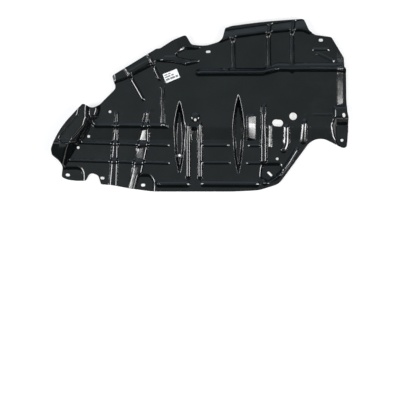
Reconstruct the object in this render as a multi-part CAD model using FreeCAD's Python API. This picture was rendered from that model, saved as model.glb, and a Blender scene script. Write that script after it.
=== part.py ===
import FreeCAD, Part
import functools
import math
import os

# Engine splash shield: one thermoformed sheet, engine side up, lying on the two keels under its floor.
# All sizes are millimetres and degrees. X runs along the shield, Y across it, and Z up from under the keels.
# The sheet is the skin between two moulds of the same forms, the lower one shrunk by the sheet's thickness.
# Widths and corner lists are those of the engine side.

sheet_thickness = 2.5

# Floor: a rear level, and a lower front level behind a gentle slope across the shield
floor_fall = 8
slope_start_y = -61
slope_end_y = -98

# Right edge: the sheet bends down a little before it
edge_bend_start_x = 391
edge_bend_end_x = 407
edge_fall = 3.5

# Keels: two long lens-shaped pockets under the floor, with the y of their two points
keel_depth = 18
keel_draft = 24
left_keel = {"x": -59, "rear_y": 14, "front_y": -209, "width": 33}
right_keel = {"x": 109, "rear_y": 32, "front_y": -212, "width": 33}

# Outline, counter-clockwise from the right of the notch at the lower left: x, y and the corner's radius
outline = [
    (-291, -199, 14), (-283, -225, 5), (-253, -227, 200), (-199, -237, 200), (-136, -245.5, 300),
    (94, -245.5, 400), (167, -242, 90), (225, -224, 43), (329, -82, 48), (404, -120, 6),
    (419, -122, 9), (423, -72, 60), (423, -35, 24), (419, -17, 30), (417, 19, 0),
    (416, 104, 8), (411, 110, 8), (410, 136, 10), (374, 195, 8), (328, 201, 20),
    (310, 213, 10), (295, 246, 9), (181, 238, 1500), (89, 225.5, 60), (71, 219.5, 7),
    (62, 184.5, 22), (15, 169, 90), (-25, 173, 14), (-41, 201, 8), (-77, 186, 90),
    (-114, 162, 12), (-125, 161, 12), (-251, 84, 3), (-240, 49, 12), (-287, 2, 30),
    (-306, -9, 20), (-333, 5, 6), (-398.5, -66, 240), (-424.5, -124, 26), (-421, -142, 14),
    (-403, -156, 40), (-392, -171, 20), (-396, -204, 8), (-379, -212, 60), (-353, -215, 60),
    (-326, -215, 8), (-314, -191, 12),
]

# Fixing holes: x, y and diameter of the round ones, then x, y, length, width and angle of the slotted ones
round_holes = [
    (220, -152, 7.5), (405, -99, 8), (-14, -41, 7.5), (-257, -18, 7.5), (-318, -88, 7.5), (-348, -120, 7.5),
]
slotted_holes = [
    (-378, -198, 12, 7.5, -10), (-279, -207, 11, 7.5, -10), (-163, -227, 12, 8, 0), (199, -195, 17, 6, -45),
    (409, -28, 12, 7.5, 100), (344, 186, 12, 8, 0), (23, 153, 13, 6.5, 5),
]
drain_hole = (-59, -142, 7)
drain_plug_hole = (221, -50, 30, 19, -5)
filter_hole = (265, -31, 21)

# Share of a narrow rib's half width that is cut off at 45 degrees at the corners of its ends
end_cut_share = 0.6

# Cross ribs: paths at the middle of each rib
rib_width = 10.5
rib_height = 5
rib_draft = 10
cross_ribs = [
    [(-299, -56), (-94, -59)],
    [(-366, -105), (-93, -113)],
    [(-379, -156), (-92, -164)],
    [(4, -113), (77, -113)],
    [(4, -163), (80, -163)],
    [(142, -114), (168, -114)],
    [(137, -164), (168, -164)],
]
climbing_draft = 1
climbing_ribs = [[(-344, -26), (-312, -44), (-297, -57)], [(-440, -104), (-350, -105)]]

# Tapered ribs that run to the front edge: corners and radius, counter-clockwise from the rear point
tapered_draft = 10
narrow_taper = [(-243, -14, 4), (-265, -275, 0), (-238, -275, 0), (-231, -14, 4)]
wide_taper = [(-156, -12, 4), (-214, -275, 0), (-184, -275, 0), (-146, -104, 60), (-144, -12, 4)]
tapered_height = 5

# Ribs on the rear floor and up to the flanges
slim_rib_width = 11
slim_rib_height = 4
slim_rib_draft = 4
slim_ribs = [[(-107, 52), (-106, -51)], [(-148, 146), (-116, 75)], [(-213, 106), (-162, 17)]]
flange_rib_width = 14
flange_rib_height = 5
flange_rib_draft = 8
flange_ribs = [
    [(93, 193), (94, 98)], [(198, 228), (194, 198), (196, 98)], [(266, 235), (261, 198), (262, 98)],
]

# Beam across the rear floor: a ridge, higher at the left, with a step along its rear side
beam_draft = 34
beam_bend = 30
high_ridge = [(-4, 93), (177, 94), (216, 104)]
high_ridge_width = 21
high_ridge_height = 12
low_ridge = [(177, 94), (216, 104), (470, 103)]
low_ridge_width = 17
low_ridge_height = 9
beam_step = [
    (-6, 93, 6), (177, 94, 30), (216, 104, 30), (470, 103, 0), (470, 122, 0), (220, 122, 30),
    (180, 107, 30), (-6, 106, 6),
]
beam_step_height = 5

# Centre: a boss round one hole, and two long beads that leave a channel between them
boss = (-14, -34)
boss_diameter = 28
boss_height = 4
channel_bead_width = 14
channel_bead_height = 5
channel_beads = [[(-34, -56), (-34, -205)], [(0, -50), (0, -206)]]
channel_pit = [(-23, -70, 0), (-23, -98, 0), (-10, -98, 0), (-10, -70, 0)]
channel_pit_depth = 4

# Beads round the two large holes at the right
side_bead_width = 19
side_bead_height = 6
side_bead_bend = 30
side_beads = [[(181, -2), (181, -160)], [(246, -60), (246, -112), (238, -127)], [(298, -44), (294, -102)]]
fine_bead_width = 8.4
fine_bead_height = 2
fine_bead_draft = 4
fine_beads = [[(200, -50), (200, -118)], [(300, -26), (392, -26)]]

# Rim beads along the front edge and the lower right edge
rim_bead_height = 8
rim_bead_draft = 30
front_rim_width = 21
front_rims = [[(-118, -224), (-38, -224)], [(9, -223), (160, -224)]]
side_rim_width = 15
side_rim = [(184, -222), (222, -202), (250, -168), (277, -124)]

# Sunk pads at the fixing holes: corners and radius, counter-clockwise
pad_depth = 6
pad_draft = 25
sunk_pads = [
    [(-430, -181, 6), (-430, -260, 0), (-334, -260, 0), (-334, -186, 14), (-350, -180, 14)],
    [(-176, -201, 8), (-192, -260, 0), (-133, -260, 0), (-133, -215, 8), (-144, -201, 10)],
    [(176, -169, 10), (172, -206, 8), (196, -216, 8), (232, -186, 8), (232, -169, 8)],
]

# Ear at the right edge: a raised pad and, past a steep wall, a sunk one
ear_pad = [(377, 0, 6), (377, -70, 6), (470, -70, 0), (470, 6, 0)]
ear_pad_height = 8
ear_hollow = [(384, -50, 6), (384, -88, 6), (398, -130, 6), (470, -130, 0), (470, -50, 0)]
ear_draft = 44

# Rear right flange: foot line with corners run off past the edge, and a top that falls outwards to a lip
flange_corner = (208, 205)
right_flange = [
    (44, 178, 0), (62, 179, 6), (79, 186, 20), (110, 192, 90), (*flange_corner, 300), (262, 210, 60),
    (292, 210, 12), (312, 201, 4), (340, 216, 0), (370, 320, 0), (20, 320, 0),
]
flange_draft = 14
right_flange_angle = 8
right_flange_height = 13
right_flange_fall = 5
lip_distance = 26
lip_run = 1
lip_height = 4

# Rear left flange with an arm that runs from it along the edge, and the pocket between the two
left_flange = [(-214, 72, 4), (-133, 114, 20), (-119, 127, 4), (-110, 250, 0), (-260, 160, 0), (-246, 61, 0)]
left_flange_height = 10
left_bead = [(-196, 96), (-142, 127)]
left_bead_width = 15
left_bead_height = 4
arm = [
    (-128, 124, 3), (-79, 121, 40), (-38, 112, 30), (0, 122, 12), (2, 190, 12), (-12, 230, 0),
    (-128, 230, 0),
]
arm_height = 10
arm_fall_start = -62
arm_fall_end = 4
arm_end_height = 1.5
arm_pocket = [(-76, 142, 3), (-30, 131, 30), (14, 131, 10), (14, 162, 10), (-18, 158, 12), (-42, 158, 12)]

# Left corner: a tall sloping wall under a ledge, and a higher rim outside it, both falling to the front
corner_draft = 36
corner_wall = [
    (-560, 120, 0), (-560, -260, 0), (-410, -260, 0), (-389, -170, 20), (-357, -117, 60), (-314, -66, 14),
    (-306, -36, 12), (-300, 120, 0),
]
ledge_height = 27
rim_step_draft = 12
rim_band = [
    (-560, 90, 0), (-560, -260, 0), (-412, -260, 0), (-398, -92, 30), (-346, -30, 10), (-316, 90, 0),
]
rim_height = 34
corner_fall_start = -100
corner_fall_end = -172
corner_end_height = 6
neck_shelf = [(-330, 120, 0), (-325, -48, 8), (-292, -38, 12), (-284, -14, 8), (-282, 120, 0)]
neck_height = 15

# Paper label on the rear floor
label_centre = (-82, 84)
label_length = 43
label_width = 27
label_thickness = 0.2
label_angle = 21.5

# Reach of the moulds past the sheet: sideways, below it and above it
mould_reach = 620
ground_foot_z = -30
block_foot_z = -20
blank_foot_z = -10
clearance = 10
overshoot = 1

# Smallest arc and shortest line of a rounded corner
smallest_radius = 0.2
shortest_line = 0.001

# Levels of the engine side, worked out from the sizes above
rear_floor = sheet_thickness + keel_depth
front_floor = rear_floor - floor_fall
mould_top = rear_floor + rim_height + clearance
hollow_top = rear_floor + clearance


def point(x, y, z=0):
    return FreeCAD.Vector(x, y, z)


# Closed wire at height z round counter-clockwise corners, moved outwards by a distance, with rounded corners
def rounded_wire(corners, outwards, z):
    count = len(corners)
    places = [point(x, y, z) for x, y, radius in corners]
    ways = [(places[(i + 1) % count] - places[i]).normalize() for i in range(count)]
    arcs = []
    for i in range(count):
        before = ways[i - 1]
        after = ways[i]
        turn = before.x * after.y - before.y * after.x
        sides = point(before.y + after.y, -before.x - after.x)
        corner = places[i] + sides * (outwards / (1 + before.dot(after)))
        radius = corners[i][2]
        if radius:
            radius = max(radius + (outwards if turn > 0 else -outwards), smallest_radius)
        reach = radius * abs(turn) / (1 + before.dot(after))
        inward = (after - before).normalize()
        depth = math.hypot(radius, reach) - radius
        arcs.append((corner - before * reach, corner + inward * depth, corner + after * reach, radius))
    edges = []
    for i in range(count):
        start, middle, end, radius = arcs[i]
        if radius:
            edges.append(Part.Arc(start, middle, end).toShape())
        following = arcs[(i + 1) % count][0]
        if (following - end).Length > shortest_line:
            edges.append(Part.LineSegment(end, following).toShape())
    return Part.Wire(edges)


# Block with drafted sides and the corner list as its outline at foot_z, grown square to its sides
def drafted_block(corners, foot_z, top_z, draft, grow):
    lean = math.tan(math.radians(draft))
    spread = grow / math.cos(math.radians(draft))
    low = rounded_wire(corners, spread + (foot_z - block_foot_z) * lean, block_foot_z)
    high = rounded_wire(corners, spread - (top_z - foot_z) * lean, top_z)
    return Part.makeLoft([low, high], True, True)


# Hollow with drafted sides whose outline at rim_z is the corner list, from its bottom up past its rim
def drafted_hollow(corners, rim_z, bottom_z, over_z, draft, grow):
    lean = math.tan(math.radians(draft))
    shrink = grow / math.cos(math.radians(draft))
    low = rounded_wire(corners, -shrink - (rim_z - bottom_z) * lean, bottom_z)
    high = rounded_wire(corners, -shrink + (over_z - rim_z) * lean, over_z)
    return Part.makeLoft([low, high], True, True)


# Corners of a band of one width along a path, with round bends, and ends that are round or cut at 45 degrees
def band(path, width, bend=0, cut_ends=False):
    half = width / 2
    cut = half * end_cut_share if cut_ends else 0
    places = [point(x, y) for x, y in path]
    ways = [(places[i + 1] - places[i]).normalize() for i in range(len(places) - 1)]
    first = places[0] - ways[0] * half
    last = places[-1] + ways[-1] * half
    right = point(ways[0].y, -ways[0].x) * half
    far_right = point(ways[-1].y, -ways[-1].x) * half
    if cut:
        inset = 1 - end_cut_share
        near = [(first + right * inset, 0), (first + right + ways[0] * cut, 0)]
        far = [(first - right * inset, 0), (first - right + ways[0] * cut, 0)]
    else:
        near = [(first + right, half)]
        far = [(first - right, half)]
    for i in range(1, len(places) - 1):
        before = ways[i - 1]
        after = ways[i]
        turn = before.x * after.y - before.y * after.x
        across = point(before.y + after.y, -before.x - after.x) * (half / (1 + before.dot(after)))
        inner = max(bend - half, 0)
        near.append((places[i] + across, bend + half if turn > 0 else inner))
        far.append((places[i] - across, inner if turn > 0 else bend + half))
    if cut:
        near += [(last + far_right - ways[-1] * cut, 0), (last + far_right * inset, 0)]
        far += [(last - far_right - ways[-1] * cut, 0), (last - far_right * inset, 0)]
    else:
        near.append((last + far_right, half))
        far.append((last - far_right, half))
    return [(place.x, place.y, radius) for place, radius in near + far[::-1]]


# Solid under a line of y and z points with y falling, which runs on level past both of its ends
def under_section(line, angle=0):
    start_z = line[0][1]
    end_z = line[-1][1]
    section = [(mould_reach, ground_foot_z), (mould_reach, start_z), *line,
               (-mould_reach, end_z), (-mould_reach, ground_foot_z), (mould_reach, ground_foot_z)]
    face = Part.Face(Part.makePolygon([point(-mould_reach, y, z) for y, z in section]))
    solid = face.extrude(point(2 * mould_reach, 0))
    solid.rotate(point(0, 0), point(0, 0, 1), angle)
    return solid


# Form that keeps below a level, and follows the bend at the right edge
def bent_at_edge(form, level):
    line = [(-edge_bend_start_x, level), (-edge_bend_end_x, level - edge_fall)]
    return form.common(under_section(line, 90))


def floor_mould(grow):
    rear = rear_floor + grow
    slope = under_section([(slope_start_y, rear), (slope_end_y, front_floor + grow)])
    return bent_at_edge(slope, rear)


# The section is square to the flange's foot line, and starts at its distance from the origin
def right_flange_mould(grow):
    block = drafted_block(right_flange, rear_floor, mould_top, flange_draft, grow)
    turn = math.radians(right_flange_angle)
    start = flange_corner[1] * math.cos(turn) - flange_corner[0] * math.sin(turn)
    lip = start + lip_distance
    high = rear_floor + right_flange_height + grow
    low = high - right_flange_fall
    line = [(lip, low + lip_height), (lip - lip_run, low), (start, high)]
    return block.common(under_section(line, right_flange_angle))


def left_flange_mould(grow):
    shelf_z = rear_floor + left_flange_height
    bead_z = shelf_z + left_bead_height
    shelf = drafted_block(left_flange, rear_floor, shelf_z + grow, flange_draft, grow)
    bead = drafted_block(band(left_bead, left_bead_width), shelf_z, bead_z + grow, rib_draft, grow)
    return shelf.fuse(bead)


# The arm falls towards its free end, and the pocket between it and the edge opens to the floor
def arm_mould(grow):
    block = drafted_block(arm, rear_floor, mould_top, flange_draft, grow)
    high = rear_floor + arm_height + grow
    low = rear_floor + arm_end_height + grow
    block = block.common(under_section([(-arm_fall_start, high), (-arm_fall_end, low)], 90))
    pocket = drafted_hollow(arm_pocket, rear_floor, ground_foot_z, high + clearance, flange_draft, grow)
    return block.cut(pocket)


# Wall, ledge, rim and neck shelf at the left corner
def corner_mould(grow):
    ledge_z = rear_floor + ledge_height
    low = rear_floor + corner_end_height + grow
    high = rear_floor + rim_height + grow
    wall = drafted_block(corner_wall, rear_floor, ledge_z + grow, corner_draft, grow)
    rim = drafted_block(rim_band, ledge_z, high, rim_step_draft, grow)
    fall = under_section([(corner_fall_start, high), (corner_fall_end, low)])
    neck = drafted_block(neck_shelf, rear_floor, rear_floor + neck_height + grow, corner_draft, grow)
    return wall.fuse(rim).common(fall).fuse(neck)


# Floor, flanges and walls together: what the ribs stand on
@functools.cache
def ground_mould(grow):
    walls = [right_flange_mould(grow), left_flange_mould(grow), arm_mould(grow), corner_mould(grow)]
    return floor_mould(grow).multiFuse(walls)


# Blocks cut off at one height over the ground
def raised(blocks, height, grow):
    forms = Part.makeCompound(blocks).common(ground_mould(height + grow))
    if not forms.Solids:
        raise ValueError("the ribs are lost")
    return forms


# Drafted block along a path, tall enough to follow the ground as it climbs
def rib(path, width, height, draft, foot_z, climb, grow, bend=0, cut_ends=True):
    top_z = foot_z + climb + height + overshoot + grow
    return drafted_block(band(path, width, bend, cut_ends), foot_z, top_z, draft, grow)


def floor_at(y):
    return rear_floor if y >= slope_start_y else front_floor


def cross_rib_mould(grow):
    kinds = [(path, rib_draft, 0) for path in cross_ribs]
    kinds += [(path, climbing_draft, rim_height + floor_fall) for path in climbing_ribs]
    blocks = []
    for path, draft, climb in kinds:
        foot_z = floor_at(path[-1][1])
        blocks.append(rib(path, rib_width, rib_height, draft, foot_z, climb, grow))
    return raised(blocks, rib_height, grow)


def tapered_rib_mould(grow):
    top_z = rear_floor + tapered_height + overshoot + grow
    blocks = []
    for corners in (narrow_taper, wide_taper):
        blocks.append(drafted_block(corners, front_floor, top_z, tapered_draft, grow))
    return raised(blocks, tapered_height, grow)


def slim_rib_mould(grow):
    climb = left_flange_height + left_bead_height
    blocks = []
    for path in slim_ribs:
        blocks.append(rib(path, slim_rib_width, slim_rib_height, slim_rib_draft, rear_floor, climb, grow))
    return raised(blocks, slim_rib_height, grow)


def flange_rib_mould(grow):
    blocks = []
    for path in flange_ribs:
        blocks.append(rib(path, flange_rib_width, flange_rib_height, flange_rib_draft, rear_floor,
                          right_flange_height, grow))
    return raised(blocks, flange_rib_height, grow)


def ridge(path, width, height, grow):
    top_z = rear_floor + height + grow
    form = drafted_block(band(path, width, beam_bend), rear_floor, top_z, beam_draft, grow)
    return bent_at_edge(form, top_z)


def beam_mould(grow):
    high = ridge(high_ridge, high_ridge_width, high_ridge_height, grow)
    low = ridge(low_ridge, low_ridge_width, low_ridge_height, grow)
    step_z = rear_floor + beam_step_height + grow
    step = drafted_block(beam_step, rear_floor, step_z, rib_draft, grow)
    return high.multiFuse([low, bent_at_edge(step, step_z)])


def boss_mould(grow):
    top = rear_floor + boss_height + grow
    lean = math.tan(math.radians(pad_draft))
    spread = grow / math.cos(math.radians(pad_draft))
    foot = boss_diameter / 2 + spread + rear_floor * lean
    return Part.makeCone(foot, foot - top * lean, top, point(*boss))


def channel_bead_mould(grow):
    blocks = []
    for path in channel_beads:
        blocks.append(rib(path, channel_bead_width, channel_bead_height, rib_draft, front_floor, floor_fall,
                          grow))
    return raised(blocks, channel_bead_height, grow)


def side_bead_mould(grow):
    blocks = []
    for path in side_beads:
        blocks.append(rib(path, side_bead_width, side_bead_height, rib_draft, front_floor, floor_fall, grow,
                          side_bead_bend, cut_ends=False))
    return raised(blocks, side_bead_height, grow)


def fine_bead_mould(grow):
    blocks = []
    for path in fine_beads:
        foot_z = floor_at(path[-1][1])
        blocks.append(rib(path, fine_bead_width, fine_bead_height, fine_bead_draft, foot_z, floor_fall,
                          grow))
    return raised(blocks, fine_bead_height, grow)


def rim_bead_mould(grow):
    top_z = front_floor + rim_bead_height + grow
    blocks = []
    for path in front_rims:
        blocks.append(drafted_block(band(path, front_rim_width), front_floor, top_z, rim_bead_draft, grow))
    side = band(side_rim, side_rim_width, beam_bend)
    blocks.append(drafted_block(side, front_floor, top_z, rib_draft, grow))
    return Part.makeCompound(blocks)


def ear_pad_mould(grow):
    return drafted_block(ear_pad, rear_floor, rear_floor + ear_pad_height + grow, ear_draft, grow)


# One keel's hollow: where two wide shallow cones overlap, with points at both ends
def keel_hollow(keel, grow):
    half_length = (keel["rear_y"] - keel["front_y"]) / 2
    half_width = keel["width"] / 2
    radius = (half_length ** 2 + half_width ** 2) / (2 * half_width)
    middle_y = (keel["rear_y"] + keel["front_y"]) / 2
    lean = math.tan(math.radians(keel_draft))
    bottom_z = sheet_thickness + grow
    foot_radius = radius - grow / math.cos(math.radians(keel_draft)) - (rear_floor - bottom_z) * lean
    rim_radius = foot_radius + (hollow_top - bottom_z) * lean
    cones = []
    for side in (-1, 1):
        centre = point(keel["x"] + side * (radius - half_width), middle_y, bottom_z)
        cones.append(Part.makeCone(foot_radius, rim_radius, hollow_top - bottom_z, centre))
    return cones[0].common(cones[1])


def hollows(grow):
    pad_z = front_floor - pad_depth + grow
    pit_z = front_floor - channel_pit_depth + grow
    cuts = [keel_hollow(keel, grow) for keel in (left_keel, right_keel)]
    for corners in sunk_pads:
        cuts.append(drafted_hollow(corners, front_floor, pad_z, hollow_top, pad_draft, grow))
    cuts.append(drafted_hollow(ear_hollow, front_floor, pad_z, hollow_top, ear_draft, grow))
    cuts.append(drafted_hollow(channel_pit, rear_floor, pit_z, hollow_top, rib_draft, grow))
    return cuts


# The whole mould, with the ground under it, grown by a distance
def mould(grow):
    forms = [
        cross_rib_mould(grow), tapered_rib_mould(grow), slim_rib_mould(grow), flange_rib_mould(grow),
        beam_mould(grow), boss_mould(grow), channel_bead_mould(grow), side_bead_mould(grow),
        fine_bead_mould(grow), rim_bead_mould(grow), ear_pad_mould(grow),
    ]
    return ground_mould(grow).multiFuse(forms).cut(hollows(grow))


def through_slot(x, y, length, width, angle):
    half = (length - width) / 2
    turn = math.radians(angle)
    away = (math.cos(turn) * half, math.sin(turn) * half)
    path = [(x - away[0], y - away[1]), (x + away[0], y + away[1])]
    wire = rounded_wire(band(path, width), 0, block_foot_z)
    return Part.Face(wire).extrude(point(0, 0, mould_top - block_foot_z))


def through_hole(x, y, diameter):
    return Part.makeCylinder(diameter / 2, mould_top - block_foot_z, point(x, y, block_foot_z))


def make_sheet():
    edge = Part.Face(rounded_wire(outline, 0, blank_foot_z))
    blank = edge.extrude(point(0, 0, mould_top - blank_foot_z))
    skin = blank.common(mould(0)).cut(mould(-sheet_thickness))
    holes = [through_hole(*hole) for hole in round_holes + [drain_hole, filter_hole]]
    holes += [through_slot(*hole) for hole in slotted_holes + [drain_plug_hole]]
    return skin.cut(holes).removeSplitter()


def make_label():
    corner = point(-label_length / 2, -label_width / 2)
    label = Part.makeBox(label_length, label_width, label_thickness, corner)
    label.rotate(point(0, 0), point(0, 0, 1), label_angle)
    label.translate(point(label_centre[0], label_centre[1], rear_floor))
    return label


os.makedirs("parts", exist_ok=True)
sheet = make_sheet()
print("sheet:", len(sheet.Solids), "solid, valid", sheet.isValid(), "volume", round(sheet.Volume), "mm3")
sheet.exportStep("parts/shield_sheet.step")
make_label().exportStep("parts/paper_label.step")
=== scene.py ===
import math

import bmesh
import bpy
import numpy as np
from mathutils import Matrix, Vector, geometry, kdtree
from mathutils.bvhtree import BVHTree


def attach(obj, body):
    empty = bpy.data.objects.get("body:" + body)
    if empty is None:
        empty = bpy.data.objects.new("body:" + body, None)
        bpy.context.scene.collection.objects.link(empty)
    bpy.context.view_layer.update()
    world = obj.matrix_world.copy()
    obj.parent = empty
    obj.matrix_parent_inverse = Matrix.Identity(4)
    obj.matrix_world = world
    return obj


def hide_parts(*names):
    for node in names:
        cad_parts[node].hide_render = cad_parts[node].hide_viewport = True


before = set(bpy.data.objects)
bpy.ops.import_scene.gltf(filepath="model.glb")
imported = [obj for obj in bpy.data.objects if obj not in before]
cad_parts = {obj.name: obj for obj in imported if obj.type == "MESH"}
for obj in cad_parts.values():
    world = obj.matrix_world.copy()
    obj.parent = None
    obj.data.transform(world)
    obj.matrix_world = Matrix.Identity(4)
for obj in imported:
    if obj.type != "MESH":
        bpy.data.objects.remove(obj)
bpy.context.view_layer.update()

scene = bpy.context.scene
perMetre = 1000  # shapes are worked out in millimetres

# The moulded sheet: lengths in millimetres, turns in degrees
sheet = {
    "sampleStep": 0.5,  # spacing of the height samples
    "margin": 8,  # the samples go on so far past the sheet
    "castFrom": (300, -100),  # heights that the rays start from, above and below
    "crestSoftness": 2.5,  # rounding of the outward bends
    "footSoftness": 0.35,  # and of the inward bends
    "blurReach": 3.2,  # a softening takes in so many of its own widths
    "bendRoom": 4,  # such a softening is worked out so many widths past its place
    "bendFade": 2,  # and runs into the rest over this length
    "patchSoftness": 1.0,
    "easeReach": 7,  # how far back the low walls across the sheet may lean
    "easeFar": 42,  # degrees over the floor, where they face the far side
    "easeNear": 34,  # and where they face the near side
    "easeBelow": (26, 30),  # in full below the first height, not at all over the second
    "underSoftness": 1.6,
    "leastThickness": 1.3,
    "restHeight": 0.02,  # the sheet's lowest places stay so far over the floor
    "unevenness": 0.18,  # height of the slow waves in the sheet
    "waveCount": 16,
    "waveLengths": (70, 240),
    "waveSeed": 7,
}


def solidOf(node):
    solid = bmesh.new()
    solid.from_mesh(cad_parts[node].data)
    bmesh.ops.remove_doubles(solid, verts=solid.verts, dist=1e-6)
    bmesh.ops.scale(solid, vec=(perMetre, perMetre, perMetre), verts=solid.verts)
    solid.normal_update()
    return solid


def castHeights(solid, xs, ys):
    # engine side and road side of the sheet over a regular grid, nan off the sheet
    cast = BVHTree.FromBMesh(solid).ray_cast
    down, up = Vector((0, 0, -1)), Vector((0, 0, 1))
    above, below = sheet["castFrom"]
    upper = np.full((len(ys), len(xs)), np.nan)
    lower = upper.copy()
    for row, y in enumerate(ys):
        for column, x in enumerate(xs):
            hit = cast(Vector((x, y, above)), down)[0]
            if hit is not None:
                back = cast(Vector((x, y, below)), up)[0]
                if back is not None:
                    upper[row, column] = hit.z
                    lower[row, column] = back.z
    return upper, lower


def softBlur(field, inside, radius):
    # gaussian blur that takes nothing from beyond the sheet's edge
    reach = int(sheet["blurReach"] * radius) + 1
    taps = np.exp(-0.5 * (np.arange(-reach, reach + 1) / radius) ** 2)
    taps /= taps.sum()

    def along(values, axis):
        total = np.zeros_like(values)
        for shift, tap in zip(range(-reach, reach + 1), taps):
            total += tap * np.roll(values, shift, axis)
        return total

    summed = along(along(np.where(inside, field, 0.0), 0), 1)
    weight = along(along(inside.astype(float), 0), 1)
    return summed / np.maximum(weight, 1e-12)


def slowWaves(xs, ys):
    # sum of a few long waves, always the same ones
    dice = np.random.default_rng(sheet["waveSeed"])
    gridX, gridY = np.meshgrid(xs, ys)
    total = np.zeros_like(gridX)
    for _ in range(sheet["waveCount"]):
        length = dice.uniform(*sheet["waveLengths"])
        turn = dice.uniform(0, math.pi)
        phase = dice.uniform(0, 2 * math.pi)
        across = gridX * math.cos(turn) + gridY * math.sin(turn)
        wave = np.sin(across * 2 * math.pi / length + phase)
        total += wave * length / sheet["waveLengths"][1]
    return total * sheet["unevenness"]


# Gentle forms of the sheet: each is lifted by so many millimetres, or changes with the distance to
# the left of its hinge line
patches = [
    {  # rearmost cross rib, from the corner to the narrow tapered rib
        "corners": [
            (-317.6, -29.4), (-302.6, -43.4), (-294, -51.6), (-246, -51.8),
            (-246, -62.3), (-299, -62), (-309.4, -50.6), (-324.4, -36.6),
        ],
        "lift": 4.8,
    },
    {  # on to the wide one, and beyond it
        "corners": [(-232.5, -51.9), (-166.5, -52.4), (-166.5, -63), (-232.5, -62.5)],
        "lift": 4.8,
    },
    {
        "corners": [(-145.5, -52.7), (-93, -53.7), (-93, -64.3), (-145.5, -63.2)],
        "lift": 4.8,
    },
    {  # the left side of the wide tapered rib, between the ribs that cross it
        "corners": [(-158, -22), (-165, -50), (-148, -50), (-147, -22)],
        "hinge": ((-149, -50), (-148, -22)),
        "slope": 0.23,
    },
    {
        "corners": [(-168, -68), (-176, -100), (-150, -100), (-149, -68)],
        "hinge": ((-154, -100), (-151, -68)),
        "slope": 0.18,
    },
    {
        "corners": [(-180, -121), (-185, -152), (-160, -152), (-156, -121)],
        "hinge": ((-162, -152), (-161, -121)),
        "slope": 0.165,
    },
    {
        "corners": [(-192, -176), (-212, -275), (-190, -275), (-168, -176)],
        "hinge": ((-190, -275), (-176, -176)),
        "slope": 0.155,
    },
    {  # fine bead beside the large holes: its crest
        "corners": [(198.5, -55), (198.5, -118), (202, -118), (202, -55)],
        "lift": 1.6,
    },
    {  # arm of the left flange: its steep front
        "corners": [
            (-112, 127), (-112, 124), (-79, 122), (-40, 115), (-36, 121), (-60, 140), (-100, 140),
        ],
        "lift": 2.2,
    },
    {  # two shallow creases in the rear right corner
        "corners": [(322, 157), (367, 157), (367, 163), (322, 163)],
        "lift": 2.6,
    },
    {
        "corners": [(334, 152), (331, 147), (379, 124), (382, 129)],
        "lift": 2.2,
    },
    {  # panel beside the right lens-shaped pocket, upper part
        "corners": [(135, -27), (135, -55), (159, -55), (159, -27)],
        "hinge": ((159, -55), (159, -27)),
        "slope": -0.23,
    },
    {  # and its lower part
        "corners": [(135, -55), (135, -98), (159, -98), (159, -55)],
        "hinge": ((159, -98), (159, -55)),
        "slope": -0.195,
    },
]

# Where the cross ribs run over the two tapered ones
crossings = {
    "places": [  # left end, right end and middle
        (-247, -232, -57), (-252, -234, -107.5), (-257, -236, -159),
        (-167, -145, -57.5), (-180, -150, -110.5), (-192, -162, -162),
    ],
    "far": 5,  # from the middle to the far side
    "near": 5.5,
    "lift": 2.4,
}
for left, right, y in crossings["places"]:
    far, near = y + crossings["far"], y - crossings["near"]
    corners = [(left, far), (right, far), (right, near), (left, near)]
    patches.append({"corners": corners, "lift": crossings["lift"]})

# Where the bends are rounder or sharper than elsewhere
bends = [
    {  # the two lens-shaped pockets, whose lower feet are soft
        "corners": [(-85, 25), (-85, -50), (-43.5, -50), (-43.5, 25)],
        "crest": 1.1,
        "foot": 0.35,
    },
    {
        "corners": [(-85, -50), (-85, -190), (-43.5, -190), (-43.5, -50)],
        "crest": 1.1,
        "foot": 0.9,
        "softFeet": True,
    },
    {
        "corners": [(84, 35), (84, -98), (131, -98), (131, 35)],
        "crest": 1.1,
        "foot": 0.35,
    },
    {
        "corners": [(84, -98), (84, -200), (131, -200), (131, -98)],
        "crest": 1.1,
        "foot": 0.9,
        "softFeet": True,
    },
    {  # panel beside the right pocket
        "corners": [(133, -22), (133, -104), (163, -104), (163, -22)],
        "crest": 1.0,
        "foot": 0.6,
    },
    {  # long bead below the label
        "corners": [(-132, 100), (-132, -52), (-90, -52), (-90, 100)],
        "crest": 1.2,
        "foot": 0.35,
    },
    {  # tip of the narrow tapered rib
        "corners": [(-245, 28), (-250, -60), (-205, -60), (-210, 28)],
        "crest": 1.4,
        "foot": 0.35,
    },
    {  # rear end of the beads at the right
        "corners": [(168, 50), (168, -26), (196, -26), (196, 50)],
        "crest": 0.9,
        "foot": 0.35,
    },
    {  # the two long beads of the channel
        "corners": [(-43, -48), (-43, -208), (12, -208), (12, -48)],
        "crest": 2.2,
        "foot": 0.35,
    },
    {  # curved ribs beside the large holes
        "corners": [(232, -10), (232, -132), (322, -132), (322, -10)],
        "crest": 5.0,
        "foot": 0.35,
    },
    {  # and the rim bead below them
        "corners": [(228, -190), (218, -165), (268, -100), (300, -104), (262, -190)],
        "crest": 4.0,
        "foot": 0.35,
    },
    {  # arch of the left flange and the tip of its diagonal rib
        "corners": [(-78, 174), (-78, 134), (-52, 112), (6, 112), (6, 174)],
        "crest": 1.0,
        "foot": 0.35,
    },
    {  # beads along the front edge
        "corners": [(-115, -204), (-115, -250), (168, -250), (168, -204)],
        "crest": 4.5,
        "foot": 0.6,
    },
]


def withinCorners(corners, gridX, gridY):
    within = np.zeros(gridX.shape, bool)
    corners = np.array(corners, float)
    for (ax, ay), (bx, by) in zip(corners, np.roll(corners, -1, 0)):
        if ay != by:
            crosses = (gridY >= min(ay, by)) & (gridY < max(ay, by))
            within ^= crosses & (gridX < ax + (gridY - ay) * (bx - ax) / (by - ay))
    return within


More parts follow.
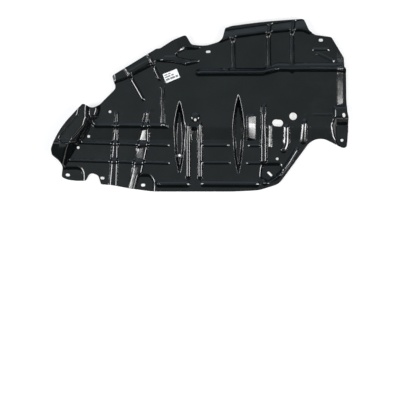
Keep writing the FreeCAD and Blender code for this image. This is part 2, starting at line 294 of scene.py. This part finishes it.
def pressPatches(xs, ys):
    gridX, gridY = np.meshgrid(xs, ys)
    total = np.zeros_like(gridX)
    for patch in patches:
        inside = withinCorners(patch["corners"], gridX, gridY)
        change = patch.get("lift", 0.0)
        if "hinge" in patch:
            (ax, ay), (bx, by) = patch["hinge"]
            along, across = bx - ax, by - ay
            left = along * (gridY - ay) - across * (gridX - ax)
            left /= math.hypot(along, across)
            change = change - patch["slope"] * np.maximum(left, 0)
        total += np.where(inside, change, 0.0)
    return total


def easeWalls(upper, inside):
    # low walls that face the far or the near side lean back, at the cost of the crest
    step = sheet["sampleStep"]
    for way, lean in ((1, sheet["easeFar"]), (-1, sheet["easeNear"])):
        eased = upper.copy()
        for k in range(1, int(sheet["easeReach"] / step) + 1):
            beyond = np.where(np.roll(inside, -way * k, 0), np.roll(upper, -way * k, 0), np.inf)
            eased = np.minimum(eased, beyond + k * step * math.tan(math.radians(lean)))
        low, high = sheet["easeBelow"]
        share = np.clip((high - upper) / (high - low), 0, 1)
        upper = np.where(inside, upper + (eased - upper) * share, upper)
    return upper


def softenBends(upper, inside, xs, ys):
    # soft outward bends and sharp inward ones, then again wherever the bends differ
    step = sheet["sampleStep"]

    def softened(part, crest, foot):
        crests = softBlur(upper[part], inside[part], crest / step)
        return np.minimum(crests, softBlur(upper[part], inside[part], foot / step))

    total = softened(np.s_[:, :], sheet["crestSoftness"], sheet["footSoftness"])
    for bend in bends:
        room = sheet["bendRoom"] * bend["crest"] + sheet["margin"]
        reach = [(min(side) - room, max(side) + room) for side in zip(*bend["corners"])]
        columns, rows = (slice(*np.searchsorted(side, ends)) for side, ends in zip((xs, ys), reach))
        part = (rows, columns)
        gridX, gridY = np.meshgrid(xs[columns], ys[rows])
        share = withinCorners(bend["corners"], gridX, gridY).astype(float)
        share = softBlur(share, inside[part], sheet["bendFade"] / step)
        total[part] += (softened(part, bend["crest"], bend["foot"]) - total[part]) * share
    return total


def readGrid(field, xs, ys, places):
    # bilinear reading of a grid at any places
    step = xs[1] - xs[0]
    column = np.clip((places[:, 0] - xs[0]) / step, 0, len(xs) - 1.001)
    row = np.clip((places[:, 1] - ys[0]) / step, 0, len(ys) - 1.001)
    i, j = row.astype(int), column.astype(int)
    a, b = row - i, column - j
    near = field[i, j] * (1 - b) + field[i, j + 1] * b
    far = field[i + 1, j] * (1 - b) + field[i + 1, j + 1] * b
    return near * (1 - a) + far * a


# Outline and holes of the sheet
cutEdge = {
    "levelMost": 0.02,  # an upright face of the cut edge leans less than this
    "beyond": 1.2,  # and so far past it there is no sheet
    "wallLeast": 0.01,
    "placesLeast": 12,
    "outline": (0.5, 1.2, 1.8),  # step of the tracing, rounding, and step of the smooth line
    "slot": (0.25, 0.35, 0.9),
    "roundness": 0.03,  # a hole whose radius changes less than this share is a circle
    "smallRadius": 6,
    "smallPlaces": 36,  # places round a small hole and a large one
    "largePlaces": 64,
    "bevel": 0.45,  # the edge is broken a little
    "bevelRise": 0.35,  # upward share of its shading
}


def cutEdgeLoops(solid, inside, xs, ys):
    # walks the border of the height samples, then moves each place onto the real cut edge
    step = sheet["sampleStep"]
    covered = inside.astype(np.float32)
    corners, walls = [], []
    for face in solid.faces:
        if abs(face.normal.z) > cutEdge["levelMost"]:
            continue
        middle = face.calc_center_median() + face.normal * cutEdge["beyond"]
        if readGrid(covered, xs, ys, np.array([middle[:2]]))[0] > 0.5:
            continue
        for edge in face.edges:
            (ax, ay, _), (bx, by, _) = edge.verts[0].co, edge.verts[1].co
            if math.hypot(ax - bx, ay - by) > cutEdge["wallLeast"]:
                first = len(corners)
                corners += [(ax, ay, -1), (bx, by, -1), (bx, by, 1), (ax, ay, 1)]
                walls.append((first, first + 1, first + 2, first + 3))
    nearest = BVHTree.FromPolygons(corners, walls).find_nearest

    onward = {}
    sides = (  # way out of a sample, and the two corners of that side
        ((-1, 0), (0, 0), (0, 1)), ((0, 1), (0, 1), (1, 1)),
        ((1, 0), (1, 1), (1, 0)), ((0, -1), (1, 0), (0, 0)),
    )
    for (down, right), start, end in sides:
        beyond = np.roll(inside, (-down, -right), (0, 1))
        for i, j in zip(*np.nonzero(inside & ~beyond)):
            onward.setdefault((i + start[0], j + start[1]), []).append((i + end[0], j + end[1]))
    loops = []
    while onward:
        corner = next(iter(onward))
        places = []
        while corner in onward:
            following = onward[corner].pop()
            if not onward[corner]:
                del onward[corner]
            row, column = (corner[0] + following[0]) / 2, (corner[1] + following[1]) / 2
            spot = Vector((xs[0] + (column - 0.5) * step, ys[0] + (row - 0.5) * step, 0))
            found, _, _, away = nearest(spot)
            places.append(tuple(found[:2]) if away < 2 * step else tuple(spot[:2]))
            corner = following
        if len(places) > cutEdge["placesLeast"]:
            loops.append(np.array(places))
    return sorted(loops, key=lambda loop: -np.ptp(loop[:, 0]))


def signedArea(loop):
    following = np.roll(loop, -1, 0)
    return 0.5 * np.sum(loop[:, 0] * following[:, 1] - following[:, 0] * loop[:, 1])


def evenLoop(loop, step):
    closed = np.vstack([loop, loop[:1]])
    runs = np.hypot(*np.diff(closed, axis=0).T)
    travelled = np.concatenate([[0], np.cumsum(runs)])
    count = max(int(round(travelled[-1] / step)), cutEdge["placesLeast"])
    places = np.arange(count) * travelled[-1] / count
    return np.column_stack([np.interp(places, travelled, closed[:, k]) for k in (0, 1)])


def smoothLoop(loop, fineStep, radius, step):
    fine = evenLoop(loop, fineStep)
    reach = int(3 * radius / fineStep) + 1
    taps = np.exp(-0.5 * (np.arange(-reach, reach + 1) * fineStep / radius) ** 2)
    taps /= taps.sum()
    soft = sum(tap * np.roll(fine, shift, 0) for shift, tap in zip(range(-reach, reach + 1), taps))
    return evenLoop(soft, step)


def tidyLoop(loop, outer):
    # counter-clockwise round the sheet and clockwise round a hole, so the sheet is on the left
    if (signedArea(loop) > 0) != outer:
        loop = loop[::-1]
    if outer:
        return smoothLoop(loop, *cutEdge["outline"])
    middle = (loop.max(0) + loop.min(0)) / 2
    away = np.hypot(*(loop - middle).T)
    if np.ptp(away) < cutEdge["roundness"] * away.mean():
        small = away.mean() < cutEdge["smallRadius"]
        count = cutEdge["smallPlaces"] if small else cutEdge["largePlaces"]
        turn = -np.arange(count) * 2 * math.pi / count
        return middle + away.max() * np.column_stack([np.cos(turn), np.sin(turn)])
    return smoothLoop(loop, *cutEdge["slot"])


def outwardWays(loop):
    way = np.roll(loop, -1, 0) - np.roll(loop, 1, 0)
    ways = np.column_stack([way[:, 1], -way[:, 0]])
    return ways / np.maximum(np.hypot(*ways.T), 1e-9)[:, None]


# Where the triangles of the sheet have their corners
cells = {
    "upper": (16, 1.0, 0.075),  # coarsest, finest, and how far a cell may cut a bend
    "lower": (12, 3.0, 0.50),
    "scatter": 0.12,  # how far a place may lie off the middle of its cell, in cells
    "scatterSeed": 3,
    "rimRoom": 0.55,  # it keeps so far off the rim, in cells
    "footTurn": 22,  # degrees: an inward bend from here on is a sharp line
    "footStep": 1.25,  # from place to place along that line
    "footSpacing": 0.75,  # and at least between two of them
    "footRoom": 1.0,  # nothing else comes nearer to it
    "riseLeast": 0.05,  # both its faces look up
    "calmReach": 1.5,  # beside it the cells get no smaller than the next value
    "calmCell": 4.0,
}


def treeOf(places):
    tree = kdtree.KDTree(len(places))
    for k, (x, y) in enumerate(places):
        tree.insert((x, y, 0), k)
    tree.balance()
    return tree


def footPlaces(solid, rims):
    # places along the sharp inward bends of the engine side, read from the solid's own edges
    tree = treeOf(rims)
    room = cells["footSpacing"]
    around = [(a, b) for a in (-1, 0, 1) for b in (-1, 0, 1)]
    taken, places = {}, []
    for edge in solid.edges:
        rises = [face.normal.z for face in edge.link_faces]
        if len(rises) != 2 or min(rises) < cells["riseLeast"]:
            continue
        if math.degrees(edge.calc_face_angle_signed()) > -cells["footTurn"]:
            continue
        start, end = (vertex.co.copy() for vertex in edge.verts)
        start.z = end.z = 0
        count = max(1, round((end - start).length / cells["footStep"]))
        for k in range(count + 1):
            spot = start.lerp(end, k / count)
            i, j = int(spot.x // room), int(spot.y // room)
            near = [taken[i + a, j + b] for a, b in around if (i + a, j + b) in taken]
            free = all((spot - other).length > room for other in near)
            if free and tree.find(spot)[2] > cells["footRoom"]:
                taken[i, j] = spot
                places.append(tuple(spot.xy))
    places = np.array(places)
    for bend in bends:
        if "softFeet" in bend:
            places = places[~withinCorners(bend["corners"], places[:, 0], places[:, 1])]
    return places


def nearPlaces(places, xs, ys, reach):
    # marks the height samples round the places
    step = sheet["sampleStep"]
    near = np.zeros((len(ys), len(xs)), bool)
    columns = np.round((places[:, 0] - xs[0]) / step).astype(int)
    rows = np.round((places[:, 1] - ys[0]) / step).astype(int)
    near[rows, columns] = True
    for _ in range(int(round(reach / step))):
        for axis in (0, 1):
            near = near | np.roll(near, 1, axis) | np.roll(near, -1, axis)
    return near


def meshPlaces(height, inside, xs, ys, kind, rims, calm=None):
    # one place a cell: small cells on bends, large ones on flats, none too near a rim
    step = sheet["sampleStep"]
    slopeY, slopeX = np.gradient(height, step)
    bendYY = np.gradient(slopeY, step, axis=0)
    bendXY, bendXX = np.gradient(slopeX, step)
    bend = np.sqrt(bendXX ** 2 + bendYY ** 2 + 2 * bendXY ** 2)
    coarsest, finest, cut = cells[kind]
    anySize = 1e3
    allowed = np.where(inside, np.sqrt(8 * cut / np.maximum(bend, 1e-6)), anySize)
    if calm is not None:
        allowed = np.where(calm, np.maximum(allowed, cells["calmCell"]), allowed)
    block = int(round(coarsest / step))
    rows = -(-height.shape[0] // block) * block
    columns = -(-height.shape[1] // block) * block
    room = ((0, rows - height.shape[0]), (0, columns - height.shape[1]))
    allowed = np.pad(allowed, room, constant_values=anySize)
    covered = np.pad(inside, room)
    dice = np.random.default_rng(cells["scatterSeed"])
    scatter = cells["scatter"]
    places = []
    active = np.ones((rows // block, columns // block), bool)
    size = coarsest
    while True:
        shape = (rows // block, block, columns // block, block)
        tightest = allowed.reshape(shape).min(axis=(1, 3))
        active &= covered.reshape(shape).any(axis=(1, 3))
        last = size <= finest + 1e-6
        leaf = active & ((tightest >= size) | last)
        i, j = np.nonzero(leaf)
        middle = np.column_stack([xs[0] + (j + 0.5) * size, ys[0] + (i + 0.5) * size])
        middle += dice.uniform(-scatter, scatter, middle.shape) * size
        places.append(np.column_stack([middle, np.full(len(middle), size)]))
        if last:
            break
        active = np.kron(active & ~leaf, np.ones((2, 2), bool)).astype(bool)
        block //= 2
        size /= 2
    places = np.vstack(places)
    places = places[readGrid(inside.astype(float), xs, ys, places) > 0.999]
    tree = treeOf(rims)
    rooms = np.maximum(cells["rimRoom"] * places[:, 2], cells["footRoom"])
    clear = [tree.find((x, y, 0))[2] > room for (x, y, _), room in zip(places, rooms)]
    return places[np.array(clear)][:, :2]


def fillLoops(loops, extra):
    # triangles between the outline and the holes, through all the extra places
    points = np.vstack([*loops, extra])
    edges = []
    start = 0
    for loop in loops:
        count = len(loop)
        edges += [(start + k, start + (k + 1) % count) for k in range(count)]
        start += count
    found = geometry.delaunay_2d_cdt([Vector(p) for p in points], edges, [], 2, 1e-6)
    faces, origins = found[2], found[3]
    first = [origin[0] if origin else -1 for origin in origins]
    faces = [tuple(first[k] for k in face) for face in faces]
    ends = np.cumsum([len(loop) for loop in loops])
    owner = np.searchsorted(ends, np.arange(len(points)), side="right")
    owner[ends[-1]:] = 0

    def acrossHole(face):
        return owner[face[0]] > 0 and owner[face[0]] == owner[face[1]] == owner[face[2]]

    return points, [face for face in faces if min(face) >= 0 and not acrossHole(face)]


def surfaceNormals(height, xs, ys, places):
    slopeY, slopeX = np.gradient(height, sheet["sampleStep"])
    normals = np.column_stack([
        -readGrid(slopeX, xs, ys, places), -readGrid(slopeY, xs, ys, places), np.ones(len(places)),
    ])
    return normals / np.linalg.norm(normals, axis=1)[:, None]


def makeSheet(material):
    solid = solidOf("shield_sheet")
    low = [min(v.co[k] for v in solid.verts) for k in (0, 1)]
    high = [max(v.co[k] for v in solid.verts) for k in (0, 1)]
    step = sheet["sampleStep"]
    margin = sheet["margin"]
    xs = np.arange(low[0] - margin, high[0] + margin, step)
    ys = np.arange(low[1] - margin, high[1] + margin, step)
    upper, lower = castHeights(solid, xs, ys)
    inside = ~np.isnan(upper)
    print("sheet:", inside.sum(), "height samples")

    waves = slowWaves(xs, ys)
    waves -= waves[inside].max()  # they only lower the sheet, so it stays in its box
    pressed = softBlur(pressPatches(xs, ys), inside, sheet["patchSoftness"] / step)
    upper += pressed
    lower += pressed
    upper = softenBends(easeWalls(upper, inside), inside, xs, ys) + waves
    lower = softBlur(lower, inside, sheet["underSoftness"] / step) + waves
    lower = np.minimum(lower, upper - sheet["leastThickness"])
    lower = np.maximum(lower, sheet["restHeight"])

    loops = cutEdgeLoops(solid, inside, xs, ys)
    loops = [tidyLoop(loop, k == 0) for k, loop in enumerate(loops)]
    print("sheet:", len(loops), "cut edges, of", [len(loop) for loop in loops], "points")
    ways = [outwardWays(loop) for loop in loops]
    bevel = cutEdge["bevel"]
    inner = [loop - way * bevel for loop, way in zip(loops, ways)]
    rims = np.vstack(loops)

    feet = footPlaces(solid, rims)
    calm = nearPlaces(feet, xs, ys, cells["calmReach"])
    others = meshPlaces(upper, inside, xs, ys, "upper", np.vstack([rims, feet]), calm)
    upperPlaces, upperFaces = fillLoops(inner, np.vstack([feet, others]))
    print("sheet:", len(feet), "places along the sharp inward bends")
    others = meshPlaces(lower, inside, xs, ys, "lower", rims)
    lowerPlaces, lowerFaces = fillLoops(inner, others)
    print("sheet:", len(upperFaces), "upper and", len(lowerFaces), "lower triangles")

    upperNormals = surfaceNormals(upper, xs, ys, upperPlaces)
    lowerNormals = -surfaceNormals(lower, xs, ys, lowerPlaces)
    outward = np.vstack(ways)
    rimUp = np.column_stack([rims, readGrid(upper, xs, ys, rims) - bevel])
    rimDown = np.column_stack([rims, readGrid(lower, xs, ys, rims) + bevel])
    rimNormals = np.column_stack([outward, np.full(len(rims), cutEdge["bevelRise"])])
    rimNormals /= np.linalg.norm(rimNormals, axis=1)[:, None]

    places = np.vstack([
        np.column_stack([upperPlaces, readGrid(upper, xs, ys, upperPlaces)]),
        np.column_stack([lowerPlaces, readGrid(lower, xs, ys, lowerPlaces)]),
        rimUp, rimDown,
    ])
    normals = np.vstack([upperNormals, lowerNormals, rimNormals, rimNormals * (1, 1, -1)])
    lowerStart = len(upperPlaces)
    upStart = lowerStart + len(lowerPlaces)
    downStart = upStart + len(rims)
    faces = list(upperFaces)
    faces += [tuple(lowerStart + k for k in face[::-1]) for face in lowerFaces]
    start = 0
    for loop in inner:
        count = len(loop)
        for k in range(count):
            a, b = start + k, start + (k + 1) % count
            faces.append((a, upStart + a, upStart + b, b))
            faces.append((upStart + a, downStart + a, downStart + b, upStart + b))
            faces.append((downStart + a, lowerStart + a, lowerStart + b, downStart + b))
        start += count

    mesh = bpy.data.meshes.new("shieldSheet")
    mesh.from_pydata((places / perMetre).tolist(), [], faces)
    mesh.update()
    mesh.polygons.foreach_set("use_smooth", [True] * len(mesh.polygons))
    corners = np.empty(len(mesh.loops), int)
    mesh.loops.foreach_get("vertex_index", corners)
    cornerNormals = normals[corners]
    # at a sharp inward bend each face keeps the slope of its own side
    upperCorners = np.array(upperFaces)
    middles = np.repeat(upperPlaces[upperCorners].mean(1), 3, 0)
    own = upperCorners.ravel()
    inward = middles - upperPlaces[own]
    inward /= np.maximum(np.hypot(*inward.T), 1e-6)[:, None]
    beside = upperPlaces[own] + inward * cells["footStep"]
    sharp = (own >= len(rims)) & (own < len(rims) + len(feet))
    cornerNormals[:len(own)][sharp] = surfaceNormals(upper, xs, ys, beside[sharp])
    mesh.normals_split_custom_set(cornerNormals.tolist())
    mesh.materials.append(material)
    piece = bpy.data.objects.new("shieldSheet", mesh)
    scene.collection.objects.link(piece)
    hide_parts("shield_sheet")
    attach(piece, "root")
    return lambda spots: readGrid(upper, xs, ys, spots)


# The paper label, with plain bars where print would be
label = {
    "cornerRadius": 1.6,
    "thickness": 0.12,
    "lift": 0.05,
    "cornerSteps": 15,  # degrees
    "curl": 6.0,  # how strongly the corners rise
    "curlStart": 0.72,  # from this share of the way out, along times across
    "cell": 1.2,
    "gridInset": 1,
    "edgeRoom": 0.5,  # between the edge and the places inside it
    "barThickness": 0.03,
    "bars": [  # left, bottom, right and top, as shares of half the label
        (-0.86, 0.50, -0.42, 0.72), (-0.30, 0.50, 0.02, 0.72),
        (-0.86, 0.02, -0.10, 0.28), (0.02, 0.02, 0.34, 0.28),
        (-0.86, -0.62, -0.34, -0.24), (-0.24, -0.62, 0.40, -0.24), (0.50, -0.62, 0.84, -0.24),
    ],
}


def makeLabel(material, ink, heightAt):
    solid = solidOf("paper_label")
    topZ = max(v.co.z for v in solid.verts)
    corners = np.array([(v.co.x, v.co.y) for v in solid.verts if v.co.z > topZ - 0.01])
    middle = corners.mean(0)
    order = np.argsort(np.arctan2(*(corners - middle).T[::-1]))
    corners = corners[order]
    along, across = corners[1] - corners[0], corners[3] - corners[0]
    if np.hypot(*along) < np.hypot(*across):
        along, across = across, -along
    halfLength, halfWidth = np.hypot(*along) / 2, np.hypot(*across) / 2
    along, across = along / (2 * halfLength), across / (2 * halfWidth)

    radius = label["cornerRadius"]
    edge = []
    for signX, signY, start in ((1, 1, 0), (-1, 1, 90), (-1, -1, 180), (1, -1, 270)):
        for turn in np.radians(start + np.arange(0, 91, label["cornerSteps"])):
            edge.append((signX * (halfLength - radius) + radius * math.cos(turn),
                         signY * (halfWidth - radius) + radius * math.sin(turn)))
    edge = evenLoop(np.array(edge), label["cell"])
    inset, room = label["gridInset"], label["edgeRoom"]
    gridX = np.arange(-halfLength + inset, halfLength - room, label["cell"])
    gridY = np.arange(-halfWidth + inset, halfWidth - room, label["cell"])
    inner = np.array([(x, y) for x in gridX for y in gridY])
    away = np.maximum(np.abs(inner) - (halfLength - radius, halfWidth - radius), 0)
    inner = inner[np.hypot(*away.T) < radius - room]
    places, faces = fillLoops([edge], inner)

    spots = middle + places[:, :1] * along + places[:, 1:] * across
    reach = np.abs(places) / (halfLength, halfWidth)
    curl = np.clip(reach.prod(1) - label["curlStart"], 0, 1) ** 2 * label["curl"]
    base = heightAt(spots) + label["lift"]
    lowSide = np.column_stack([spots, base + curl])
    highSide = lowSide + (0, 0, label["thickness"])
    count = len(places)
    rim = len(edge)
    allFaces = [tuple(face) for face in faces]
    allFaces += [tuple(count + k for k in face[::-1]) for face in faces]
    allFaces += [(k, count + k, count + (k + 1) % rim, (k + 1) % rim) for k in range(rim)]
    places = [*highSide, *lowSide]
    paperTop = label["lift"] + label["thickness"]
    inkStart = len(allFaces)
    for left, bottom, right, top in label["bars"]:
        start = len(places)
        for side, rise in ((0, 0), (1, label["barThickness"])):
            for u, v in ((left, bottom), (right, bottom), (right, top), (left, top)):
                spot = middle + u * halfLength * along + v * halfWidth * across
                z = heightAt(spot[None, :])[0] + paperTop + rise
                places.append(np.array([*spot, z]))
        low, high = range(start, start + 4), range(start + 4, start + 8)
        allFaces += [tuple(low)[::-1], tuple(high)]
        allFaces += [(low[k], low[(k + 1) % 4], high[(k + 1) % 4], high[k]) for k in range(4)]
    mesh = bpy.data.meshes.new("paperLabel")
    mesh.from_pydata((np.array(places) / perMetre).tolist(), [], allFaces)
    mesh.update()
    mesh.materials.append(material)
    mesh.materials.append(ink)
    mesh.polygons.foreach_set("material_index", [int(k >= inkStart) for k in range(len(allFaces))])
    piece = bpy.data.objects.new("paperLabel", mesh)
    scene.collection.objects.link(piece)
    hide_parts("paper_label")
    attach(piece, "root")
    print("label:", len(allFaces), "faces")


def newMaterial(name):
    material = bpy.data.materials.new(name)
    material.use_nodes = True
    nodes = material.node_tree.nodes
    shader = next(node for node in nodes if node.type == "BSDF_PRINCIPLED")
    return material, nodes, material.node_tree.links, shader


def addNoise(nodes, links, place, scale, detail, roughness=0.5):
    noise = nodes.new("ShaderNodeTexNoise")
    noise.inputs["Scale"].default_value = scale
    noise.inputs["Detail"].default_value = detail
    noise.inputs["Roughness"].default_value = roughness
    links.new(place.outputs["Object"], noise.inputs["Vector"])
    return noise.outputs["Fac"]


def addRange(nodes, links, value, low, high, fromLow=0.3, fromHigh=0.7):
    span = nodes.new("ShaderNodeMapRange")
    span.inputs["From Min"].default_value = fromLow
    span.inputs["From Max"].default_value = fromHigh
    span.inputs["To Min"].default_value = low
    span.inputs["To Max"].default_value = high
    links.new(value, span.inputs["Value"])
    return span.outputs["Result"]


def addMix(nodes, links, value, first, second):
    # each side is a colour or the output of another node
    mix = nodes.new("ShaderNodeMix")
    mix.data_type = "RGBA"
    for slot, side in (("A", first), ("B", second)):
        socket = next(i for i in mix.inputs if i.name == slot and i.type == "RGBA")
        if isinstance(side, tuple):
            socket.default_value = (*side, 1)
        else:
            links.new(side, socket)
    links.new(value, mix.inputs["Factor"])
    return next(out for out in mix.outputs if out.type == "RGBA")


def paintTones(nodes, links, shader, clouds, look):
    share = addRange(nodes, links, clouds, 0, 1)
    tones = addMix(nodes, links, share, look["firstTone"], look["secondTone"])
    links.new(tones, shader.inputs["Base Color"])


def addBump(nodes, links, height, distance, strength, below=None):
    bump = nodes.new("ShaderNodeBump")
    bump.inputs["Distance"].default_value = distance
    bump.inputs["Strength"].default_value = strength
    links.new(height, bump.inputs["Height"])
    if below is not None:
        links.new(below, bump.inputs["Normal"])
    return bump.outputs["Normal"]


# Glossy black moulded plastic
plastic = {
    "firstTone": (0.0022, 0.0031, 0.0034),
    "secondTone": (0.0038, 0.0049, 0.0053),
    "clouds": (9, 4, 0.6),  # scale, detail and roughness of a noise
    "wipes": (26, 5, 0.62),
    "polish": (0.09, 0.17),  # roughness from the shiniest to the dullest patch
    "ior": 1.5,
    "shine": 1.0,
    "peel": (160, 2),
    "peelBump": (0.00002, 0.6),  # height in metres, and strength
    "grain": (2600, 2),
    "grainBump": (0.000002, 0.5),
}


def plasticMaterial():
    material, nodes, links, shader = newMaterial("glossyBlackPlastic")
    place = nodes.new("ShaderNodeTexCoord")
    clouds = addNoise(nodes, links, place, *plastic["clouds"])
    paintTones(nodes, links, shader, clouds, plastic)
    wipes = addNoise(nodes, links, place, *plastic["wipes"])
    links.new(addRange(nodes, links, wipes, *plastic["polish"]), shader.inputs["Roughness"])
    peel = addNoise(nodes, links, place, *plastic["peel"])
    peel = addBump(nodes, links, peel, *plastic["peelBump"])
    grain = addNoise(nodes, links, place, *plastic["grain"])
    grain = addBump(nodes, links, grain, *plastic["grainBump"], peel)
    links.new(grain, shader.inputs["Normal"])
    shader.inputs["IOR"].default_value = plastic["ior"]
    shader.inputs["Specular IOR Level"].default_value = plastic["shine"]
    return material


# Grey ink of the bars
inkLook = {
    "firstTone": (0.10, 0.10, 0.10),
    "secondTone": (0.24, 0.24, 0.235),
    "clouds": (900, 3),
    "roughness": (0.4, 0.6),
    "bump": (0.00001, 0.4),
}


def inkMaterial():
    material, nodes, links, shader = newMaterial("greyInk")
    place = nodes.new("ShaderNodeTexCoord")
    clouds = addNoise(nodes, links, place, *inkLook["clouds"])
    paintTones(nodes, links, shader, clouds, inkLook)
    links.new(addRange(nodes, links, clouds, *inkLook["roughness"]), shader.inputs["Roughness"])
    links.new(addBump(nodes, links, clouds, *inkLook["bump"]), shader.inputs["Normal"])
    return material


# White label paper
paper = {
    "firstTone": (0.80, 0.80, 0.785),
    "secondTone": (0.87, 0.875, 0.875),
    "clouds": (120, 4),
    "roughness": (0.55, 0.75),
    "fibres": (1500, 6, 0.7),
    "fibreBump": (0.00003, 0.5),
}


def paperMaterial():
    material, nodes, links, shader = newMaterial("labelPaper")
    place = nodes.new("ShaderNodeTexCoord")
    clouds = addNoise(nodes, links, place, *paper["clouds"])
    paintTones(nodes, links, shader, clouds, paper)
    links.new(addRange(nodes, links, clouds, *paper["roughness"]), shader.inputs["Roughness"])
    fibres = addNoise(nodes, links, place, *paper["fibres"])
    links.new(addBump(nodes, links, fibres, *paper["fibreBump"]), shader.inputs["Normal"])
    return material


# Pale floor that reads as white to the camera and keeps the soft shadow
floor = {
    "size": 24.0,
    "below": 0.0003,
    "tone": (0.34, 0.34, 0.34),
    "dimmest": 0.985,  # of that tone
    "clouds": (3, 3),
    "roughness": 0.9,
    "whitening": 0.70,
}


def makeFloor():
    mesh = bpy.data.meshes.new("studioFloor")
    half, z = floor["size"] / 2, -floor["below"]
    corners = [(-half, -half, z), (half, -half, z), (half, half, z), (-half, half, z)]
    mesh.from_pydata(corners, [], [(0, 1, 2, 3)])
    piece = bpy.data.objects.new("studioFloor", mesh)
    scene.collection.objects.link(piece)
    material, nodes, links, shader = newMaterial("paleFloor")
    place = nodes.new("ShaderNodeTexCoord")
    clouds = addNoise(nodes, links, place, *floor["clouds"])
    dim = tuple(floor["dimmest"] * tone for tone in floor["tone"])
    links.new(addMix(nodes, links, clouds, dim, floor["tone"]), shader.inputs["Base Color"])
    shader.inputs["Roughness"].default_value = floor["roughness"]
    shader.inputs["Emission Color"].default_value = (1, 1, 1, 1)
    path = nodes.new("ShaderNodeLightPath")
    seen = path.outputs["Is Camera Ray"]
    for kind in ("Is Glossy Ray", "Is Transmission Ray"):
        either = nodes.new("ShaderNodeMath")
        either.operation = "MAXIMUM"
        links.new(seen, either.inputs[0])
        links.new(path.outputs[kind], either.inputs[1])
        seen = either.outputs[0]
    white = addRange(nodes, links, seen, 0, floor["whitening"], 0, 1)
    links.new(white, shader.inputs["Emission Strength"])
    mesh.materials.append(material)


# Soft light: a softbox with a bright core high at each side, and a dim cool one at the far side.
# The first size lies level, along the shield's short way, and the second leans over it
studio = {
    "distance": 3.5,
    "sideFromZenith": 34,  # degrees
    "rightCore": {"size": (1.5, 1.25), "radiance": 13.0, "shift": -0.66},
    "leftCore": {"size": (1.5, 1.3), "radiance": 13.0, "shift": -0.57},
    "rightFringe": {"size": (2.2, 2.3), "radiance": 0.7, "shift": -0.95},
    "leftFringe": {"size": (2.3, 2.3), "radiance": 0.7, "shift": -0.9},
    "farFromZenith": 55,
    "far": {"size": (5.0, 3.4), "radiance": 0.3, "shift": 0},
    "farTint": (0.70, 0.85, 1.0),
    "room": (0.245, 0.287, 0.30),  # overhead, at the left and at the right
    "dimRoom": (0.165, 0.193, 0.20),
    "roomSide": (-0.9, 0.25, 0),
    "roomTurn": (-0.09, 0.09),  # where it turns from one to the other
    "farHorizon": (0.15, 0.19, 0.24),
    "nearHorizon": (0.010, 0.010, 0.010),
    "coolSide": (-0.45, 0.89, 0),
    "coolTurn": (-0.35, 0.75),
    "overhead": (0.7, 0.96),  # rise of the view from the last of the horizon to the full room
    "level": (-0.02, 0.0),  # and from what lies under the floor to the horizon
    "under": (1, 1, 1),
}


def addBox(name, fromZenith, turn, box, tint=(1, 1, 1)):
    # a box on a dome over the shield, its long side level
    lamp = bpy.data.lights.new(name, "AREA")
    lamp.shape = "RECTANGLE"
    lamp.size, lamp.size_y = box["size"]
    lamp.energy = box["radiance"] * math.pi * lamp.size * lamp.size_y
    lamp.color = tint
    piece = bpy.data.objects.new(name, lamp)
    tilt, turn = math.radians(fromZenith), math.radians(turn)
    out = math.sin(tilt)
    away = Vector((out * math.cos(turn), out * math.sin(turn), math.cos(tilt)))
    piece.location = away * studio["distance"] + Vector((0, box["shift"], 0))
    piece.rotation_euler = away.to_track_quat("Z", "Y").to_euler()
    scene.collection.objects.link(piece)


def addTurn(nodes, links, place, side, turn):
    # from 0 to 1 across the room, towards one side
    lean = nodes.new("ShaderNodeVectorMath")
    lean.operation = "DOT_PRODUCT"
    lean.inputs[1].default_value = side
    links.new(place.outputs["Generated"], lean.inputs[0])
    return addRange(nodes, links, lean.outputs["Value"], 0, 1, *turn)


def makeLights():
    for name, turn in (("right", 0), ("left", 180)):
        for kind in ("Core", "Fringe"):
            addBox(name + kind, studio["sideFromZenith"], turn, studio[name + kind])
    addBox("farBox", studio["farFromZenith"], 90, studio["far"], studio["farTint"])

    world = bpy.data.worlds.new("studioRoom")
    world.use_nodes = True
    nodes, links = world.node_tree.nodes, world.node_tree.links
    nodes.clear()
    out = nodes.new("ShaderNodeOutputWorld")
    lit = nodes.new("ShaderNodeBackground")
    place = nodes.new("ShaderNodeTexCoord")
    split = nodes.new("ShaderNodeSeparateXYZ")
    links.new(place.outputs["Generated"], split.inputs[0])
    away = addTurn(nodes, links, place, studio["coolSide"], studio["coolTurn"])
    horizon = addMix(nodes, links, away, studio["nearHorizon"], studio["farHorizon"])
    side = addTurn(nodes, links, place, studio["roomSide"], studio["roomTurn"])
    room = addMix(nodes, links, side, studio["dimRoom"], studio["room"])
    height = addRange(nodes, links, split.outputs["Z"], 0, 1, *studio["overhead"])
    above = addMix(nodes, links, height, horizon, room)
    level = addRange(nodes, links, split.outputs["Z"], 0, 1, *studio["level"])
    whole = addMix(nodes, links, level, studio["under"], above)
    links.new(whole, lit.inputs["Color"])
    links.new(lit.outputs[0], out.inputs["Surface"])
    scene.world = world


# Straight down on the shield, which keeps its place in the upper half of the picture
view = {
    "above": (-0.0004, -0.2695),  # metres
    "height": 5.5,
    "frameWidth": 1.1438,  # what the picture shows of the floor
    "sensor": 36,  # millimetres
}


def makeCamera():
    lens = bpy.data.cameras.new("viewCamera")
    lens.sensor_width = view["sensor"]
    lens.lens = view["sensor"] * view["height"] / view["frameWidth"]
    camera = bpy.data.objects.new("viewCamera", lens)
    camera.location = (*view["above"], view["height"])
    scene.collection.objects.link(camera)
    scene.camera = camera


scene.view_settings.view_transform = "Standard"
makeCamera()
makeLights()
makeFloor()
print("studio: camera, lights and floor are ready")
heightAt = makeSheet(plasticMaterial())
makeLabel(paperMaterial(), inkMaterial(), heightAt)
